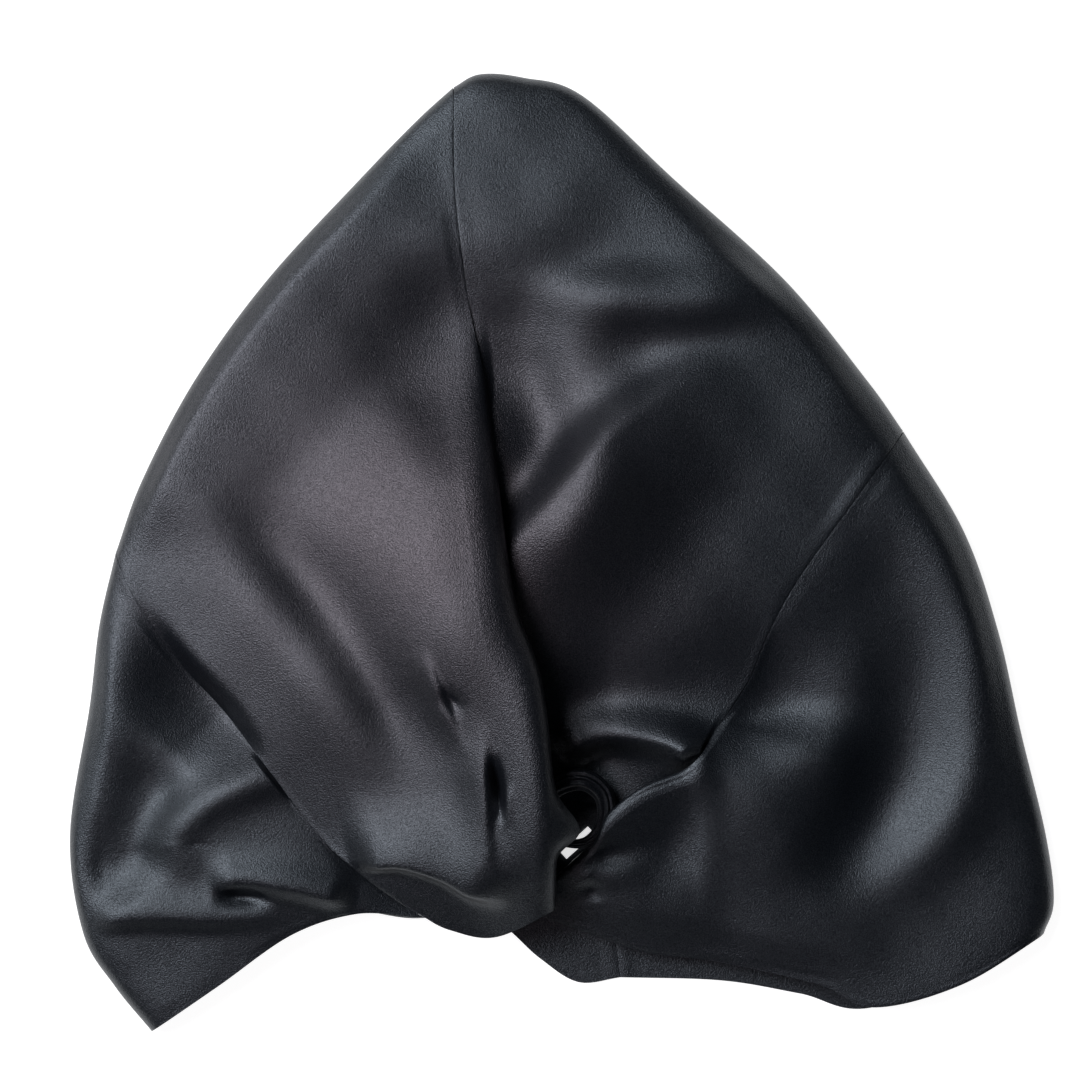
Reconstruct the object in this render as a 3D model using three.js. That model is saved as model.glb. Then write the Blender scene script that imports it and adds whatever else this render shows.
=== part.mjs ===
// Twist-front silk bonnet, lying on its back with the twist upwards.
// Millimetres, +Z up, +Y towards the tip of the crown, the mouth towards -Y.
// The origin is on the table, under the middle of the bonnet.
import * as THREE from 'three';

// Driving dimensions
const WALL = 1.2; // thickness of the cloth
const HALF_WALL = WALL / 2;
const SIDE_ROUND = 3; // radius of the round where a front panel turns over the side
const SIDE_TOP = HALF_WALL + 2 * SIDE_ROUND;
const SIDE_RUN = 3; // how far in from the side the upper half of that round reaches
const SHOULDER = { rise: 3.5, run: 4.5 }; // swell of the front inside that round
const UNDER_REACH = 14; // how far a front panel reaches round under the side
const SEAM_GAP = 1.0; // clear line between two panels at a seam
const BACK_GAP = 0.9; // clear line between the back and the front panels' turned-under strips
const BACK_STEPS = 9; // quads across half of the back, and twice as many along it
const LABEL = { length: 11.5, width: 3, thick: 0.6, x: 4.7, y: -88.7, turn: 42, lift: 0.4 };

// A table's rows as objects with its named columns.
function table(columns, rows) {
  const names = columns.split(' ');
  return rows.map((row) => Object.fromEntries(names.map((name, i) => [name, row[i]])));
}

// Side folds seen from above, where the front turns over to the back.
const SIDE_CROWN_LEFT = table('x y', [
  [-136, 0],
  [-128, 22],
  [-112, 52.5],
  [-90, 83],
  [-61.5, 114],
  [-44, 132],
  [-33, 142],
]);
const SIDE_CROWN_RIGHT = table('x y', [
  [-33, 142],
  [-25, 146],
  [-12, 145],
  [6, 139.5],
  [34, 114],
  [68, 83],
  [93, 52.5],
  [104, 37],
]);
const SIDE_BAND_LEFT = table('x y', [
  [-125, -146],
  [-136.5, -132],
  [-146, -116],
  [-150, -86],
  [-144, -47],
  [-141, -22],
  [-136, 0],
]);
const SIDE_BAND_RIGHT = table('x y', [
  [147, -116],
  [150, -106],
  [147.5, -86],
  [140, -55],
  [133, -24],
  [122.5, 6.5],
  [104, 37],
]);

// Seams and edges of the front. The height z is that of the cloth's middle before the shoulder lifts it.
const SEAM_LEFT = table('x y z', [
  [-136, 0, 6.6],
  [-130.5, -12.5, 8],
  [-116, -34, 10],
  [-100, -51.5, 11.5],
  [-76, -83, 12],
  [-61.5, -96.5, 14],
  [-44, -109, 13],
]);
const BAND_LEFT_TOP = table('x y z', [
  [-66, -93.5, 10.5],
  [-55, -99, 7.5],
  [-40, -105, 5],
]);
const SEAM_RIGHT = table('x y z', [
  [104, 37, 6.6],
  [91.5, 20, 10],
  [71.5, -8, 12],
  [62, -25.5, 12.5],
  [56.5, -39, 13.5],
  [46.5, -54, 16],
  [41, -62, 18],
]);
const CENTRE_SEAM = table('x y z', [
  [-33, 142, 6.6],
  [-32.5, 110, 8],
  [-29, 80, 10.5],
]);
const LEFT_LOOP_EDGE = table('x y z', [
  [-23, 49, 17],
  [-18.5, 15, 28],
  [-14, -15, 33],
  [-6.5, -37, 36],
  [-3, -65, 37],
  [-2, -88, 34.5],
  [-2, -107, 25],
]);
const LEFT_LOOP_END = table('x y z', [
  [-44, -109, 13],
  [-34, -114, 12],
  [-20, -116, 13],
  [-2, -107, 25],
]);
const RIGHT_DIVE = table('x y z', [
  [-25, 49, 11],
  [-27, 25, 12],
  [-23, 0, 11],
  [-17, -30, 10],
  [-10, -55, 6],
  [-6, -74, 3.4],
]);
const UNDER_LOBE = table('x y z', [
  [43, -59.6, 15.6],
  [45.5, -65, 8],
  [51, -70, 5],
]);
const CAVITY_FLOOR = table('x y z', [
  [-6, -74, 3.4],
  [14, -77, 1.8],
  [34, -80, 2.2],
  [51, -70, 5],
]);
const LOBE_RIM = table('x y z', [
  [36, -66, 17.5],
  [24, -71, 17],
  [14, -79, 15.5],
  [10, -87, 14],
  [3, -94, 11],
  [-3, -100, 8],
]);
const RIGHT_KNOT_END = table('x y z', [
  [-15, -108, 5],
  [-9, -104, 6.5],
  [-3, -100, 8],
]);
const HEM_LEFT = table('x y z', [
  [-125, -146, 6.6],
  [-104, -131.5, 7],
  [-82, -116, 8.5],
  [-62, -109.5, 9],
  [-44, -111, 7],
  [-30, -110, 5],
]);
const LEFT_KNOT_END = table('x y z', [
  [-30, -110, 5],
  [-40, -105, 5],
]);
const HEM_RIGHT = table('x y z', [
  [147, -116, 6.6],
  [121.5, -131.5, 6],
  [95, -138.5, 5],
  [78, -131.5, 4.4],
  [46, -124.5, 3.2],
  [24, -121.5, 3.2],
  [0, -113, 4],
  [-15, -108, 5],
]);
const HEM_BACK_LEFT = table('x y', [
  [-93, -121],
  [-66, -106],
  [-40, -106],
  [-20, -113],
  [-7, -124],
  [5, -131.5],
  [18, -130],
]);
const HEM_BACK_RIGHT = table('x y', [
  [18, -130],
  [49, -131],
  [73, -135],
  [95, -139.3],
]);
const CENTRE_BACK = table('x y', [
  [18, -130],
  [8, -60],
  [-6, 20],
  [-19, 90],
]);

// Folds, each a ridge (or a valley where rise is below 0) along a path seen from above: left and
// right are its widths to each side of the path, lean how far its crest hangs over to the right, start and
// stop the shares of the path over which it fades in and out.
const FOLD_COLUMNS = 'name rise left right lean start stop path';
const FOLDS = {
  crown_left: table(FOLD_COLUMNS, [
    [
      'left rim', 3, 9, 26, 0, 0.15, 0.25,
      [[-125, -2], [-119, 19], [-104, 48], [-83, 77], [-57, 107], [-41, 125]],
    ],
    ['seam ridge', 2.2, 13, 13, 0, 0.3, 0.3, [[-126, 12], [-101, -8], [-79, -35], [-64, -56], [-54, -80]]],
    ['loop shoulder', 4, 15, 34, 0, 0.4, 0.4, [[-60, 52], [-50, 32], [-40, 0], [-31, -38], [-26, -70]]],
    ['long valley', -3.8, 13, 10, 0, 0.35, 0.25, [[-104, 22], [-87, 3], [-66, -22], [-49, -52], [-44, -70]]],
    ['loop slit', -3.5, 5, 5, 0, 0.45, 0.5, [[-20.6, -59], [-20, -66], [-18.6, -74], [-16.4, -81]]],
    ['lower tuck', 5, 13, 8, 2, 0.2, 0.3, [[-66, -92], [-50, -89.5], [-35, -93.5], [-25, -99], [-12, -104]]],
  ]),
  crown_right: table(FOLD_COLUMNS, [
    ['tip valley', -2.8, 16, 9, 0, 0.5, 0.5, [[-26, 92], [5, 91], [46, 95]]],
    ['tip ridge', 3.4, 10, 9, 0, 0.35, 0.4, [[-14, 80], [12, 77], [40, 77], [78, 80]]],
    ['crown pit', -4, 12, 42, 0, 0.25, 0.75, [[0, 64], [18, 61], [44, 61], [80, 64], [112, 68]]],
    ['groove', -6, 11, 14, 0, 0.4, 0.4, [[-22, 80], [-10, 51], [-4, 28], [-12, 6], [-16, -20]]],
    ['rim ridge', 8, 8, 6, 0, 0.35, 0.2, [[-3, -63.5], [6, -57.5], [17, -55], [31.5, -56.8], [38, -61.5]]],
    [
      'dive ridge', 14, 9, 24, 0, 0.35, 0.6,
      [[-35, -26], [-21, -9], [-7, 9], [9, 28], [32, 47], [70, 64]],
    ],
  ]),
  left_seam: table(FOLD_COLUMNS, [
    ['wing hollow', -9, 7, 19, 0, 0.6, 0.35, [[-131, -12], [-117, -33], [-102, -50], [-90, -66]]],
  ]),
  centre_seam: table(FOLD_COLUMNS, [
    ['dent', -7, 44, 25, 0, 0.4, 0.5, [[-33, 98], [-32, 78], [-31, 60], [-31, 42], [-36, 20]]],
  ]),
  right_seam: table(FOLD_COLUMNS, [
    [
      'right swell', 4, 28, 34, 0, 0.55, 0.35,
      [[-12, 126], [20, 103], [50, 78], [76, 48], [85, 20], [80, -10]],
    ],
    ['lower hollow', -8, 23, 13, 0, 0.25, 0.4, [[-10, -52], [16, -52], [42, -50], [66, -46], [94, -40]]],
  ]),
  band_left: table(FOLD_COLUMNS, [
    ['wing rim', 3.2, 14, 7, 0, 0.3, 0.3, [[-136, -12], [-138, -45], [-142, -75], [-141, -100]]],
    ['lower hollow', -4.5, 9, 16, 0, 0.3, 0.3, [[-115, -62], [-127, -76], [-132, -90], [-123, -103]]],
    ['arc ridge', 2.6, 8, 8, 0, 0.15, 0.4, [[-78, -66], [-92, -69], [-108, -76], [-118, -87], [-110, -101]]],
    ['inner ridge', 3.4, 8, 7, 0, 0.2, 0.2, [[-109, -101], [-95, -99.5], [-80, -101.5], [-62, -106]]],
    ['low ridge', 2.6, 8, 6, 0, 0.2, 0.5, [[-148, -112], [-126, -110], [-105, -110.5], [-78, -109]]],
  ]),
  band_right: table(FOLD_COLUMNS, [
    [
      'wing ridge', 2.4, 9, 9, 0, 0.2, 0.3,
      [[96, 33], [118, -5], [126, -42], [120, -76], [100, -98], [74, -115]],
    ],
    ['wing valley', -5, 15, 17, 0, 0.65, 0.3, [[88, 12], [99, -12], [105, -45], [98, -74], [70, -104]]],
    ['lobe', 5.5, 15, 26, 0, 0.3, 0.5, [[82, -42], [80, -60], [73, -78], [58, -95], [42, -107]]],
    ['lobe hollow', -2.5, 11, 13, 0, 0.4, 0.4, [[50, -58], [41, -73], [31, -89], [15, -102]]],
    ['hem roll', 2.5, 9, 18, 0, 0.3, 0.2, [[102, -122], [76, -118], [46, -111], [24, -108], [4, -102]]],
  ]),
};

// An edge that rolls over and down: inset from the edge when flat and when rolled, the drop, and the share of
// the lip's reach.
const ROLL_COLUMNS = 'flat rolled drop lip';
const LOOP_ROLL = table(ROLL_COLUMNS, [
  [4.4, 3.4, 0, 0],
  [3.4, 1.8, 0.8, 0],
  [2.4, 0.9, 2.4, 0.05],
  [1.6, 0.5, 4.8, 0.25],
  [0.8, 0.5, 7.4, 0.6],
  [0, 0.5, 10, 1],
]);
const LOBE_ROLL = table(ROLL_COLUMNS, [
  [6, 4.5, 0, 0],
  [4, 2, 0.8, 0],
  [2, 0.8, 1.8, 0],
  [0, 0.5, 3.2, 0],
]);
// How far the left loop's edge bulges over the twist, where, and how far it runs out towards tip and hem
const LIP = { reach: 7.4, y: -83, tipRun: 8, hemRun: 5 };

// The gathered strip in the middle of the twist, with its radius along it
const CORE = table('x y z radius', [
  [-12, -77, 9, 2.4],
  [-5, -73, 11.6, 3.1],
  [1, -69.5, 12.4, 3.4],
  [7, -69, 12.6, 3.4],
  [12, -72.5, 11.2, 3.2],
  [13.5, -78, 9.6, 2.9],
  [12, -84, 8.2, 2.3],
  [7.5, -88, 7, 1.6],
  [2, -88.6, 6, 1.4],
  [-5, -86, 5.5, 2],
  [-10, -84, 5, 2.4],
]);
const CORE_STEPS = 36;
const CORE_SIDES = 12;
const CORE_PLEATS = 4;
const CORE_PLEAT_DEPTH = 0.1;

// Colours of the cloth and the label
const SATIN = { color: 0x14171c, roughness: 0.42, metalness: 0 };
const SATIN_DEEP = { color: 0x101318, roughness: 0.45, metalness: 0 };
const TAPE = { color: 0xf2f2f0, roughness: 0.8, metalness: 0 };

function curve(rows, height) {
  const points = rows.map((row) => new THREE.Vector3(row.x, row.y, row.z ?? height));
  return new THREE.CatmullRomCurve3(points, false, 'catmullrom', 0.5);
}

function smooth(from, to, value) {
  const t = Math.min(1, Math.max(0, (value - from) / (to - from)));
  return t * t * (3 - 2 * t);
}

function flatLength(a, b) {
  return Math.hypot(a.x - b.x, a.y - b.y);
}

// A surface through four edges: side (v = 0), end (v = 1), low (u = 0) and high (u = 1).
function fourEdges({ side, end, low, high }) {
  const corner = [side.getPointAt(0), side.getPointAt(1), end.getPointAt(0), end.getPointAt(1)];
  return (u, v) => {
    const p = new THREE.Vector3();
    p.addScaledVector(side.getPointAt(u), 1 - v);
    p.addScaledVector(end.getPointAt(u), v);
    p.addScaledVector(low.getPointAt(v), 1 - u);
    p.addScaledVector(high.getPointAt(v), u);
    p.addScaledVector(corner[0], -(1 - u) * (1 - v));
    p.addScaledVector(corner[1], -u * (1 - v));
    p.addScaledVector(corner[2], -(1 - u) * v);
    p.addScaledVector(corner[3], -u * v);
    return p;
  };
}

// How a fold moves the cloth at p.
const FOLD_SAMPLES = 40;
function prepareFold(fold) {
  const line = new THREE.SplineCurve(fold.path.map(([x, y]) => new THREE.Vector2(x, y)));
  return { ...fold, samples: line.getSpacedPoints(FOLD_SAMPLES) };
}
function foldShift(fold, p) {
  let best = { gap: Infinity };
  for (let i = 0; i < FOLD_SAMPLES; i += 1) {
    const from = fold.samples[i];
    const along = fold.samples[i + 1].clone().sub(from);
    const reach = along.length();
    along.divideScalar(reach);
    const offset = new THREE.Vector2(p.x - from.x, p.y - from.y);
    const run = Math.min(reach, Math.max(0, offset.dot(along)));
    const rightward = offset.x * along.y - offset.y * along.x;
    const gap = offset.addScaledVector(along, -run).length();
    if (gap < best.gap) {
      best = { gap, along, rightward, share: (i + run / reach) / FOLD_SAMPLES };
    }
  }
  const width = best.rightward > 0 ? fold.right : fold.left;
  const fade = smooth(0, fold.start, best.share) * smooth(0, fold.stop, 1 - best.share);
  const size = Math.exp(-((best.gap / width) ** 2)) * fade;
  const push = fold.lean * size;
  return new THREE.Vector3(best.along.y * push, -best.along.x * push, fold.rise * size);
}

// The middle of a front panel's cloth. Folds of its own die out at its seams, shared ones cross them.
const SEAM_EASE = 0.04; // of the panel's width
const SIDE_EASE = 10; // in from the side
const PUFF_SCALE = 64; // brings the puff to its full height at the middle of a panel
function frontSurface(panel) {
  const base = fourEdges(panel);
  const own = FOLDS[panel.name].map(prepareFold);
  const shared = panel.shares.flatMap((seam) => FOLDS[seam]).map(prepareFold);
  return (u, v) => {
    const p = base(u, v);
    const inside = flatLength(p, base(u, 0));
    const over = 1 - Math.min(1, inside / SIDE_RUN);
    const middle = PUFF_SCALE * u * (1 - u) * (v * (1 - v)) ** 2;
    p.z += panel.puff * middle + SIDE_ROUND * (Math.sqrt(1 - over ** 2) - 1);
    p.z += SHOULDER.rise * (1 - Math.exp(-inside / SHOULDER.run));
    const nearSide = smooth(0, SIDE_EASE, inside);
    const eased = nearSide * smooth(0, SEAM_EASE, u) * smooth(0, SEAM_EASE, 1 - u);
    const shift = new THREE.Vector3();
    own.forEach((fold) => shift.addScaledVector(foldShift(fold, p), eased));
    shared.forEach((fold) => shift.addScaledVector(foldShift(fold, p), nearSide));
    return p.add(shift);
  };
}

// Outward-to-inward direction at the side, seen from above.
const INWARD_STEP = 0.06; // of the panel's depth
function inward(panel, u) {
  const base = fourEdges(panel);
  const step = base(u, INWARD_STEP).sub(base(u, 0));
  step.z = 0;
  return step.normalize();
}

function underEdge(panel, u, reach) {
  const p = panel.side.getPointAt(u).addScaledVector(inward(panel, u), reach);
  p.z = HALF_WALL;
  return p;
}

// Columns of a row: where each lies across the panel, and how far a rolled edge moves it out and down.
function columnsOf(panel, base, v) {
  const gap = SEAM_GAP / 2;
  const width = flatLength(base(0, v), base(1, v));
  const rolled = panel.roll ? panel.rolled(v) : 0;
  const [first, ...rest] = panel.roll ?? [{ flat: gap, rolled: gap }];
  const stop = THREE.MathUtils.lerp(first.flat, first.rolled, rolled);
  const list = [];
  for (let i = 0; i <= panel.across; i += 1) {
    list.push({ u: THREE.MathUtils.lerp(gap / width, 1 - stop / width, i / panel.across), out: 0, drop: 0 });
  }
  const past = panel.high.getPointAt(v).y - LIP.y;
  const lip = LIP.reach * Math.exp(-((past / (past > 0 ? LIP.tipRun : LIP.hemRun)) ** 2));
  rest.forEach((row) => {
    const inset = Math.max(gap, THREE.MathUtils.lerp(row.flat, row.rolled, rolled));
    list.push({ u: 1 - inset / width, out: lip * row.lip * rolled, drop: row.drop * rolled });
  });
  return list;
}

// Rows of points of a front panel: the strip turned under, the round of the side, then the front.
const UNDER_TURNS = [-90, -45];
const OVER_TURNS = [0, 35, 65];
function frontGrid(panel) {
  const base = fourEdges(panel);
  const at = frontSurface(panel);
  const grid = [];
  const sideColumns = columnsOf(panel, base, 0);
  [UNDER_REACH, (UNDER_REACH + SIDE_ROUND) / 2].forEach((reach) => {
    grid.push(sideColumns.map(({ u }) => underEdge(panel, u, reach)));
  });
  UNDER_TURNS.forEach((degrees) => {
    const turn = THREE.MathUtils.degToRad(degrees);
    grid.push(
      sideColumns.map(({ u }) => {
        const p = underEdge(panel, u, SIDE_ROUND * (1 - Math.cos(turn)));
        p.z = HALF_WALL + SIDE_ROUND * (1 + Math.sin(turn));
        return p;
      }),
    );
  });
  const depth = flatLength(base(0.5, 0), base(0.5, 1));
  const runShare = SIDE_RUN / depth;
  const shares = OVER_TURNS.map((degrees) => runShare * (1 - Math.cos(THREE.MathUtils.degToRad(degrees))));
  for (let i = 0; i <= panel.along; i += 1) {
    shares.push(THREE.MathUtils.lerp(runShare, 1, i / panel.along));
  }
  shares.forEach((v) => {
    grid.push(
      columnsOf(panel, base, v).map(({ u, out, drop }) => {
        const p = at(u, v);
        p.x += out;
        p.z -= drop;
        return p;
      }),
    );
  });
  return grid;
}

// Closed cloth of even thickness about a grid of points.
function cloth(grid, thick) {
  const rows = grid.length;
  const columns = grid[0].length;
  const positions = [];
  const normalAt = (i, j) => {
    const down = grid[Math.min(rows - 1, i + 1)][j].clone().sub(grid[Math.max(0, i - 1)][j]);
    const across = grid[i][Math.min(columns - 1, j + 1)].clone().sub(grid[i][Math.max(0, j - 1)]);
    return across.cross(down).normalize();
  };
  [0.5, -0.5].forEach((face) => {
    grid.forEach((row, i) =>
      row.forEach((p, j) => positions.push(...p.clone().addScaledVector(normalAt(i, j), face * thick))),
    );
  });
  const at = (face, i, j) => (face * rows + i) * columns + j;
  const index = [];
  const quad = (a, b, c, d) => index.push(a, b, c, a, c, d);
  for (let i = 0; i + 1 < rows; i += 1) {
    for (let j = 0; j + 1 < columns; j += 1) {
      quad(at(0, i, j), at(0, i, j + 1), at(0, i + 1, j + 1), at(0, i + 1, j));
      quad(at(1, i, j), at(1, i + 1, j), at(1, i + 1, j + 1), at(1, i, j + 1));
    }
  }
  for (let j = 0; j + 1 < columns; j += 1) {
    quad(at(0, 0, j + 1), at(0, 0, j), at(1, 0, j), at(1, 0, j + 1));
    quad(at(0, rows - 1, j), at(0, rows - 1, j + 1), at(1, rows - 1, j + 1), at(1, rows - 1, j));
  }
  for (let i = 0; i + 1 < rows; i += 1) {
    quad(at(0, i, 0), at(0, i + 1, 0), at(1, i + 1, 0), at(1, i, 0));
    quad(at(0, i + 1, columns - 1), at(0, i, columns - 1), at(1, i, columns - 1), at(1, i + 1, columns - 1));
  }
  return closedGeometry(positions, index);
}

// Indexed geometry, turned so that its faces point outwards.
function closedGeometry(positions, index) {
  let volume = 0;
  const corner = (k) => new THREE.Vector3().fromArray(positions, 3 * index[k]);
  for (let k = 0; k < index.length; k += 3) {
    volume += corner(k).dot(corner(k + 1).cross(corner(k + 2)));
  }
  if (volume < 0) {
    index.reverse();
  }
  const geometry = new THREE.BufferGeometry();
  geometry.setAttribute('position', new THREE.Float32BufferAttribute(positions, 3));
  geometry.setIndex(index);
  geometry.computeVertexNormals();
  return geometry;
}

// Front panels, each with its side fold, two seams or edges, and its end at the twist
const PANELS = {
  crown_left: {
    name: 'crown_left',
    side: curve(SIDE_CROWN_LEFT, SIDE_TOP),
    low: curve(SEAM_LEFT),
    high: curve([...CENTRE_SEAM, ...LEFT_LOOP_EDGE]),
    end: curve(LEFT_LOOP_END),
    puff: 3,
    across: 17,
    along: 19,
    shares: ['left_seam', 'centre_seam'],
    roll: LOOP_ROLL,
    rolled: (v) => smooth(0.26, 0.5, v),
  },
  crown_right: {
    name: 'crown_right',
    side: curve(SIDE_CROWN_RIGHT, SIDE_TOP),
    low: curve([...CENTRE_SEAM, ...RIGHT_DIVE]),
    high: curve([...SEAM_RIGHT.slice(0, -1), ...UNDER_LOBE]),
    end: curve(CAVITY_FLOOR),
    puff: 4,
    across: 20,
    along: 24,
    shares: ['right_seam', 'centre_seam'],
  },
  band_left: {
    name: 'band_left',
    side: curve(SIDE_BAND_LEFT, SIDE_TOP),
    low: curve(HEM_LEFT),
    high: curve([...SEAM_LEFT.slice(0, -2), ...BAND_LEFT_TOP]),
    end: curve(LEFT_KNOT_END),
    puff: 2,
    across: 15,
    along: 15,
    shares: ['left_seam'],
  },
  band_right: {
    name: 'band_right',
    side: curve(SIDE_BAND_RIGHT, SIDE_TOP),
    low: curve(HEM_RIGHT),
    high: curve([...SEAM_RIGHT, ...LOBE_RIM]),
    end: curve(RIGHT_KNOT_END),
    puff: -2,
    across: 20,
    along: 19,
    shares: ['right_seam'],
    roll: LOBE_ROLL,
    rolled: (v) => smooth(0.64, 0.72, v),
  },
};

// Half of the back, flat on the table, from the turned-under strips to the centre-back seam.
function backGrid(panel) {
  const gap = SEAM_GAP / 2;
  const at = fourEdges(panel);
  const grid = [];
  for (let i = 0; i <= 2 * BACK_STEPS; i += 1) {
    const u = i / (2 * BACK_STEPS);
    const row = [];
    for (let j = 0; j <= BACK_STEPS; j += 1) {
      const width = flatLength(at(u, 0), at(u, 1));
      const v = THREE.MathUtils.lerp(0, 1 - gap / width, j / BACK_STEPS);
      const p = at(u, v);
      p.z = HALF_WALL;
      row.push(p);
    }
    grid.push(row);
  }
  return grid;
}

const BACK_TOP = { left: 0.96, middle: 0.05, right: 0.1 };
const REACH_TO_BACK = UNDER_REACH + BACK_GAP;
const LOWER_SHARES = [0, 0.12, 0.25, 0.4, 0.6, 0.8, 1];
const UPPER_SHARES = [0.12, 0.25, 0.4, 0.55, 0.7, 0.85];
const underOf = (name, u) => underEdge(PANELS[name], u, REACH_TO_BACK);
const backTop = underOf('crown_right', BACK_TOP.middle);
const leftRail = [
  ...LOWER_SHARES.map((u) => underOf('band_left', u)),
  ...[...UPPER_SHARES, BACK_TOP.left].map((u) => underOf('crown_left', u)),
];
const rightRail = [
  ...LOWER_SHARES.map((u) => underOf('band_right', u)),
  ...[...UPPER_SHARES, 1 - BACK_TOP.right].map((u) => underOf('crown_right', 1 - u)),
];
const centreBack = curve([...CENTRE_BACK, backTop], HALF_WALL);
const BACKS = {
  back_left: {
    side: curve(leftRail, HALF_WALL),
    end: centreBack,
    low: curve([leftRail[0], ...HEM_BACK_LEFT], HALF_WALL),
    high: curve([leftRail.at(-1), underOf('crown_left', 1), backTop], HALF_WALL),
  },
  back_right: {
    side: curve(rightRail, HALF_WALL),
    end: centreBack,
    low: curve([rightRail[0], ...[...HEM_BACK_RIGHT].reverse()], HALF_WALL),
    high: curve([rightRail.at(-1), backTop], HALF_WALL),
  },
};

// The gathered strip that turns through the twist.
function coreGeometry() {
  const path = curve(CORE);
  const radii = new THREE.SplineCurve(CORE.map((row, i) => new THREE.Vector2(i, row.radius)));
  const positions = [];
  const index = [];
  for (let i = 0; i <= CORE_STEPS; i += 1) {
    const share = i / CORE_STEPS;
    const centre = path.getPoint(share);
    const along = path.getTangent(share);
    const side = along.clone().cross(new THREE.Vector3(0, 0, 1)).normalize();
    const over = side.clone().cross(along);
    for (let j = 0; j < CORE_SIDES; j += 1) {
      const turn = (2 * Math.PI * j) / CORE_SIDES;
      const pleat = CORE_PLEAT_DEPTH * (1 - Math.cos(CORE_PLEATS * turn));
      const radius = radii.getPoint(share).y * (1 - pleat);
      const p = centre.clone();
      p.addScaledVector(side, radius * Math.cos(turn));
      p.addScaledVector(over, radius * Math.sin(turn));
      positions.push(p.x, p.y, p.z);
    }
  }
  const at = (i, j) => i * CORE_SIDES + (j % CORE_SIDES);
  for (let i = 0; i < CORE_STEPS; i += 1) {
    for (let j = 0; j < CORE_SIDES; j += 1) {
      index.push(at(i, j), at(i, j + 1), at(i + 1, j + 1), at(i, j), at(i + 1, j + 1), at(i + 1, j));
    }
  }
  [0, CORE_STEPS].forEach((i) => {
    const middle = positions.length / 3;
    positions.push(...path.getPoint(i / CORE_STEPS));
    for (let j = 0; j < CORE_SIDES; j += 1) {
      const edge = i ? [at(i, j), at(i, j + 1)] : [at(i, j + 1), at(i, j)];
      index.push(...edge, middle);
    }
  });
  return closedGeometry(positions, index);
}

// The label, a plain tab lying inside the back.
function labelGeometry() {
  const { length, width, thick, x, y, turn, lift } = LABEL;
  const geometry = new THREE.BoxGeometry(length, width, thick);
  geometry.rotateZ(THREE.MathUtils.degToRad(turn));
  return geometry.translate(x, y, WALL + lift + thick / 2);
}

const group = new THREE.Group();
function add(name, geometry, finish) {
  const mesh = new THREE.Mesh(geometry, new THREE.MeshStandardMaterial(finish));
  mesh.name = name;
  group.add(mesh);
}

Object.entries(PANELS).forEach(([name, panel]) => add(name, cloth(frontGrid(panel), WALL), SATIN));
Object.entries(BACKS).forEach(([name, panel]) => add(name, cloth(backGrid(panel), WALL), SATIN_DEEP));
add('twist_core', coreGeometry(), SATIN_DEEP);
add('label', labelGeometry(), TAPE);

export default group;
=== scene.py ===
"""Twist-front silk bonnet lying on its back: fine cloth panels in black satin, lit and seen from above."""

import math
from collections import namedtuple

import bpy
import numpy as np
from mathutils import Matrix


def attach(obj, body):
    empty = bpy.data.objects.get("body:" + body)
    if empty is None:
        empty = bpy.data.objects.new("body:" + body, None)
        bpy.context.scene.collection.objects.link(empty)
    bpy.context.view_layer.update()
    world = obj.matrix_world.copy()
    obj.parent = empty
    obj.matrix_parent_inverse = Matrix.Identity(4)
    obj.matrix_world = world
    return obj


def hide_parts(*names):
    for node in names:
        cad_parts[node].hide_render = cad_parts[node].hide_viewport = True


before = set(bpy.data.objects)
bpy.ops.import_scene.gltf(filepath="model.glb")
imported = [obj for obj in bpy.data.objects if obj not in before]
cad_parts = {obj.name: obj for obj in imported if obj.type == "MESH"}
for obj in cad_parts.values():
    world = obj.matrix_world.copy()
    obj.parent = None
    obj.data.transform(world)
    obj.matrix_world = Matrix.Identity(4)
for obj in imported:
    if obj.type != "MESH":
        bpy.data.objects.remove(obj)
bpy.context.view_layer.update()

# Sizes are in millimetres; MM turns them into the scene's metres.
MM = 0.001
WALL = 0.9  # thickness of the cloth
LYING_HEIGHT = 0.6  # of the middle of the cloth that lies on the table
SIDE_ROUND = 3.0  # radius of the round where a front panel turns over the side
SIDE_TOP = LYING_HEIGHT + 2 * SIDE_ROUND
SIDE_RUN = 3.0  # how far in from the side the upper half of that round reaches
SHOULDER_RISE = 3.5  # swell of the front inside that round
SHOULDER_RUN = 4.5
UNDER_REACH = 14.0  # how far a front panel reaches round under the side
INWARD_STEP = 0.06  # of a panel's depth, to find the way in from its side
PUFF_SCALE = 64  # brings a panel's puff to its full height at the middle
SIDE_EASE = 10.0  # run from the side over which folds grow
SEAM_EASE = 0.04  # of a panel's width, over which its own folds die out at its seams

# Clear lines between pieces
SEAM_GAP = 0.3
BACK_GAP = 0.06
BACK_SEAM_GAP = 0.06

# A seam is a sunk line with stitch puckers along it, a hem has a bead, and the back's seam a welt beside it.
SEAM_SINK = 0.14
SEAM_SINK_RUN = 0.4
STITCH_PITCH = 2.1
STITCH_PUCKER = 0.03
STITCH_PUCKER_RUN = 2.2
HEM_BEAD = 0.1
HEM_BEAD_AT = 1.3
HEM_BEAD_RUN = HEM_BEAD_AT / 1.5
EDGE_FADE = 0.02  # of the edge's length, to either side of where its detail starts or stops
BACK_WELT = 0.25
BACK_WELT_AT = 2.0
BACK_WELT_RUN = 1.2

# Fineness of curves and grids
CURVE_STEPS = 60
FOLD_STEPS = 24
ROLL_STEPS = 5
UNDER_ROWS = 7
ROUND_ROWS = 8
SLOW_START = 0.1  # share of a panel's rows that crowd towards its side
END_CROWDING = 0.5  # how much its columns crowd towards its seams
BACK_ROWS = 150
BACK_COLUMNS = 80
SHARP_ANGLE = 60  # degrees between faces past which an edge is shaded sharp

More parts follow.
